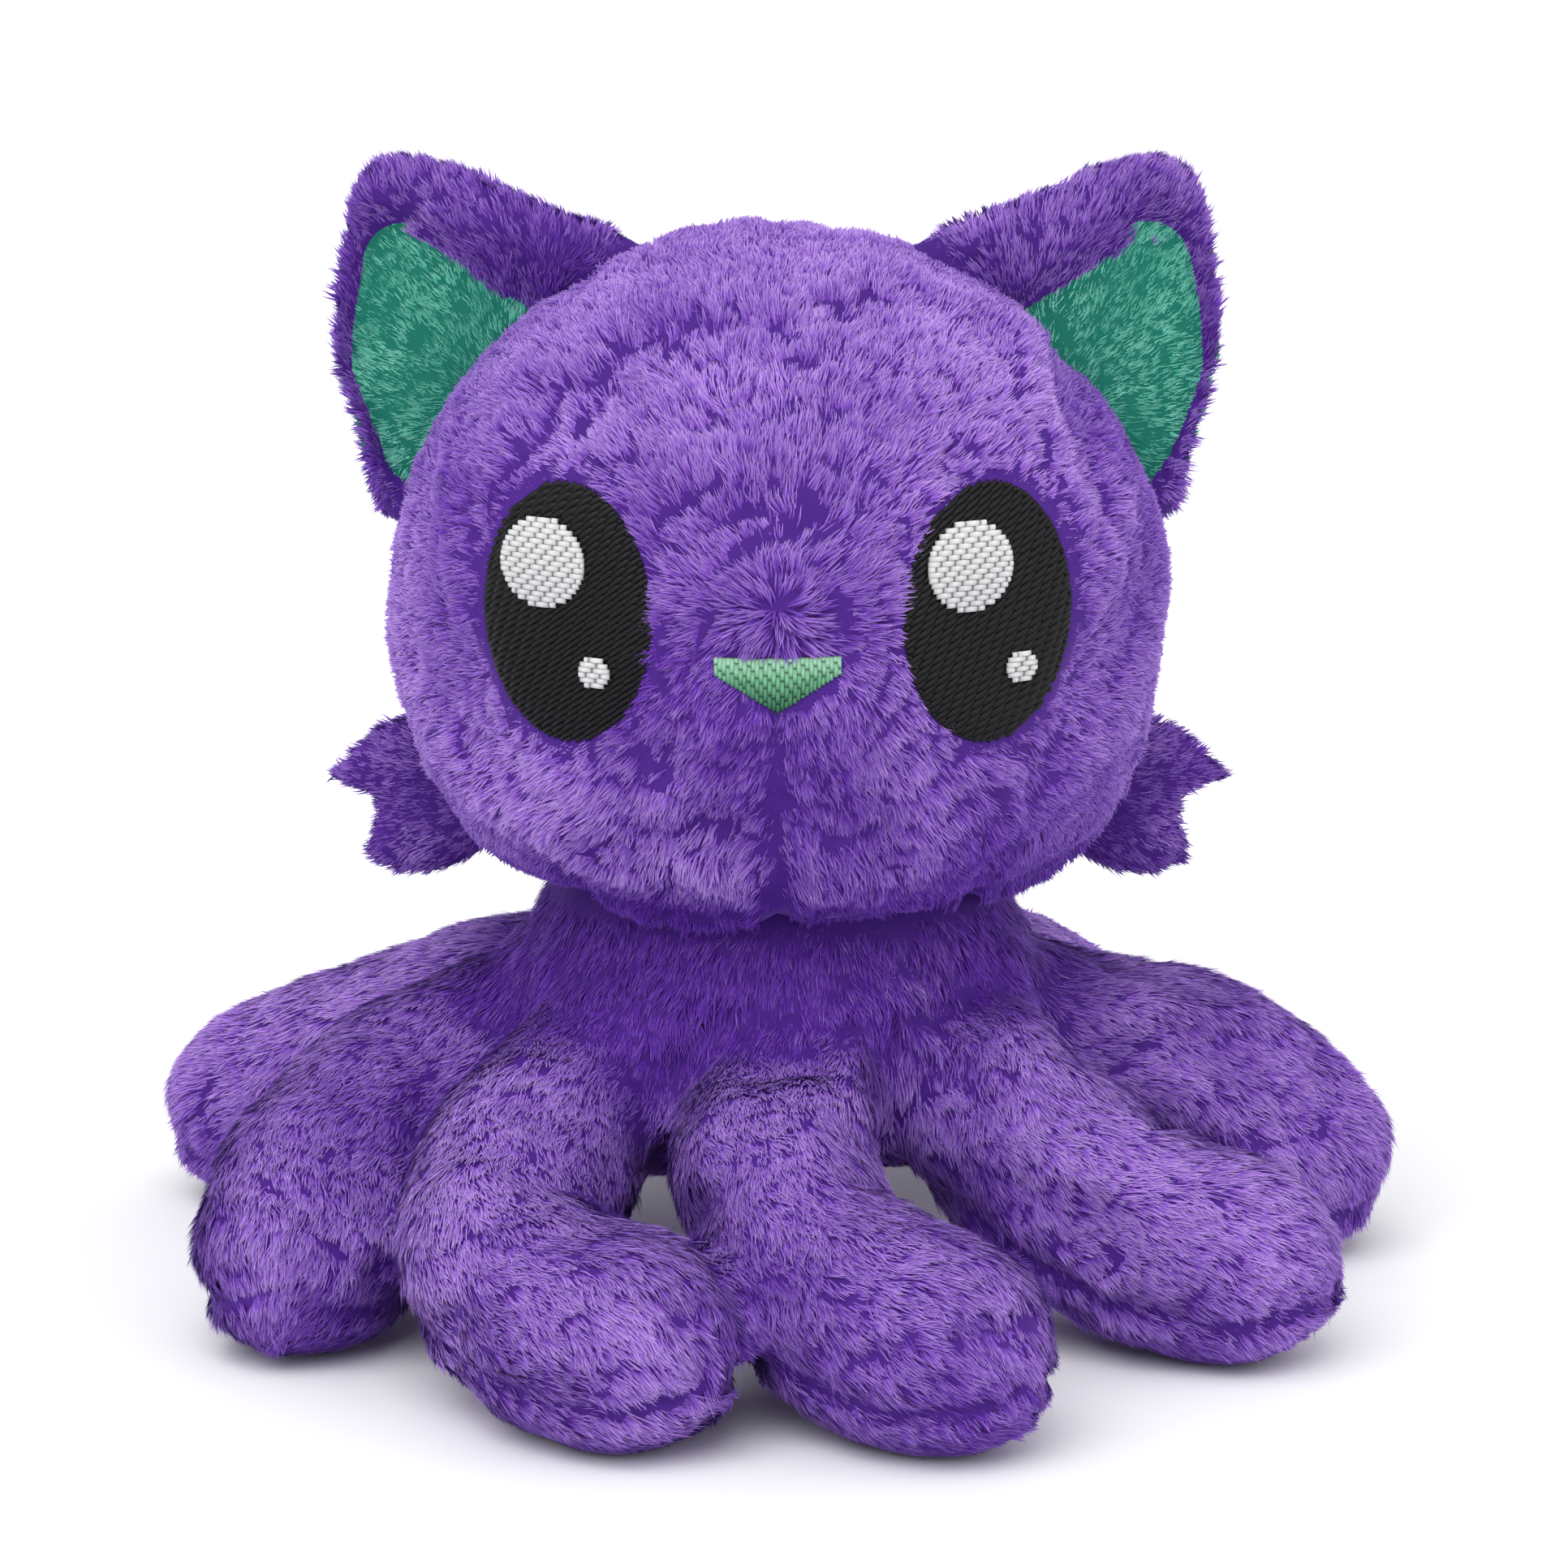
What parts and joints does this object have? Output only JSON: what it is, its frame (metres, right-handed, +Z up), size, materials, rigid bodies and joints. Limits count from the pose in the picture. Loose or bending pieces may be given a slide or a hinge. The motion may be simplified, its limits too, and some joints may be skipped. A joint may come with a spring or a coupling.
{
  "type": "stuffed octopus toy",
  "caption": "Stuffed plush toy: a round cat-eared head on a low body with drooping stuffed arms; the head turns and nods, the arms, ears and cheek tufts bend.",
  "frame": {"origin": "centre of the bottom of the whole toy's box, on the surface that the arm tips rest on", "axes": "+Z up, -Y is the face, +X is on the right as the face is looked at"},
  "size_m": [0.221, 0.235, 0.1987],
  "materials": {
    "plush": "short dense pile, purple",
    "ear_plush": "short dense pile, teal green",
    "eye_thread": "satin embroidery thread, black",
    "gleam_thread": "satin embroidery thread, off-white",
    "nose_thread": "satin embroidery thread, green",
    "seam_thread": "doubled sewing thread, purple",
    "stuffing": "loose polyester fibre, white"
  },
  "bodies": {
    "torso": {"torso_cover": "plush", "belly_panel": "plush", "torso_fill": "stuffing", "arm_root_seams": "seam_thread", "neck_seam": "seam_thread"},
    "neck": {"neck_fill": "stuffing", "neck_collar": "plush"},
    "head": {"face_panel_left": "plush", "face_panel_right": "plush", "head_back_panel_left": "plush", "head_back_panel_right": "plush", "head_fill": "stuffing", "eye_left": "eye_thread", "eye_right": "eye_thread", "eye_gleam_left": "gleam_thread", "eye_gleam_right": "gleam_thread", "nose": "nose_thread"},
    "ear_left": {"ear_left_back_panel": "plush", "ear_left_rim": "plush", "ear_left_lining": "ear_plush", "ear_left_fill": "stuffing"},
    "cheek_tuft_left": {"cheek_tuft_left_front": "plush", "cheek_tuft_left_back": "plush"},
    "ear_right": {"ear_right_back_panel": "plush", "ear_right_rim": "plush", "ear_right_lining": "ear_plush", "ear_right_fill": "stuffing"},
    "cheek_tuft_right": {"cheek_tuft_right_front": "plush", "cheek_tuft_right_back": "plush"},
    "arm_1": {"arm_1_upper_panel": "plush", "arm_1_under_panel": "plush", "arm_1_fill": "stuffing"},
    "arm_2": {"arm_2_upper_panel": "plush", "arm_2_under_panel": "plush", "arm_2_fill": "stuffing"},
    "arm_3": {"arm_3_upper_panel": "plush", "arm_3_under_panel": "plush", "arm_3_fill": "stuffing"},
    "arm_4": {"arm_4_upper_panel": "plush", "arm_4_under_panel": "plush", "arm_4_fill": "stuffing"},
    "arm_5": {"arm_5_upper_panel": "plush", "arm_5_under_panel": "plush", "arm_5_fill": "stuffing"},
    "arm_6": {"arm_6_upper_panel": "plush", "arm_6_under_panel": "plush", "arm_6_fill": "stuffing"},
    "arm_7": {"arm_7_upper_panel": "plush", "arm_7_under_panel": "plush", "arm_7_fill": "stuffing"},
    "arm_8": {"arm_8_upper_panel": "plush", "arm_8_under_panel": "plush", "arm_8_fill": "stuffing"}
  },
  "joints": [
    {"name": "arm_1_lift", "type": "hinge", "parent": "torso", "child": "arm_1", "pos_m": [-0.03062, -0.03417, 0.04], "axis": [-0.9937, -0.1117, 0], "range_deg": [-5, 35], "stiffness_Nm_per_rad": 0.6},
    {"name": "arm_2_lift", "type": "hinge", "parent": "torso", "child": "arm_2", "pos_m": [0.00401, -0.04643, 0.04], "axis": [-0.9207, -0.3902, 0], "range_deg": [-5, 35], "stiffness_Nm_per_rad": 0.6},
    {"name": "arm_3_lift", "type": "hinge", "parent": "torso", "child": "arm_3", "pos_m": [0.03717, -0.03062, 0.04], "axis": [-0.5029, -0.8644, 0], "range_deg": [-5, 35], "stiffness_Nm_per_rad": 0.6},
    {"name": "arm_4_lift", "type": "hinge", "parent": "torso", "child": "arm_4", "pos_m": [0.04943, 0.00401, 0.04], "axis": [0.1264, -0.992, 0], "range_deg": [-5, 35], "stiffness_Nm_per_rad": 0.6},
    {"name": "arm_5_lift", "type": "hinge", "parent": "torso", "child": "arm_5", "pos_m": [0.03362, 0.03717, 0.04], "axis": [0.9209, -0.3898, 0], "range_deg": [-5, 35], "stiffness_Nm_per_rad": 0.6},
    {"name": "arm_6_lift", "type": "hinge", "parent": "torso", "child": "arm_6", "pos_m": [-0.00101, 0.04943, 0.04], "axis": [0.9255, 0.3787, 0], "range_deg": [-5, 35], "stiffness_Nm_per_rad": 0.6},
    {"name": "arm_7_lift", "type": "hinge", "parent": "torso", "child": "arm_7", "pos_m": [-0.03417, 0.03362, 0.04], "axis": [0.1339, 0.991, 0], "range_deg": [-5, 35], "stiffness_Nm_per_rad": 0.6},
    {"name": "arm_8_lift", "type": "hinge", "parent": "torso", "child": "arm_8", "pos_m": [-0.04643, -0.00101, 0.04], "axis": [-0.8288, 0.5596, 0], "range_deg": [-5, 35], "stiffness_Nm_per_rad": 0.6},
    {"name": "neck_turn", "type": "hinge", "parent": "torso", "child": "neck", "pos_m": [0.0015, 0.0015, 0.0625], "axis": [0, 0, 1], "range_deg": [-30, 30], "stiffness_Nm_per_rad": 0.4},
    {"name": "head_nod", "type": "hinge", "parent": "neck", "child": "head", "pos_m": [0.0015, 0.0015, 0.066], "axis": [1, 0, 0], "range_deg": [-8, 8], "stiffness_Nm_per_rad": 2.5},
    {"name": "ear_left_fold", "type": "hinge", "parent": "head", "child": "ear_left", "pos_m": [-0.04912, 0.0055, 0.16597], "axis": [0.6428, 0, 0.766], "range_deg": [-20, 20], "stiffness_Nm_per_rad": 0.02},
    {"name": "ear_right_fold", "type": "hinge", "parent": "head", "child": "ear_right", "pos_m": [0.05212, 0.0055, 0.16597], "axis": [0.6428, 0, -0.766], "range_deg": [-20, 20], "stiffness_Nm_per_rad": 0.02},
    {"name": "cheek_tuft_left_fold", "type": "hinge", "parent": "head", "child": "cheek_tuft_left", "pos_m": [-0.0588, 0.0095, 0.084], "axis": [-0.336, 0, 0.9419], "range_deg": [-15, 15], "stiffness_Nm_per_rad": 0.01},
    {"name": "cheek_tuft_right_fold", "type": "hinge", "parent": "head", "child": "cheek_tuft_right", "pos_m": [0.0618, 0.0095, 0.084], "axis": [-0.336, 0, -0.9419], "range_deg": [-15, 15], "stiffness_Nm_per_rad": 0.01}
  ]
}
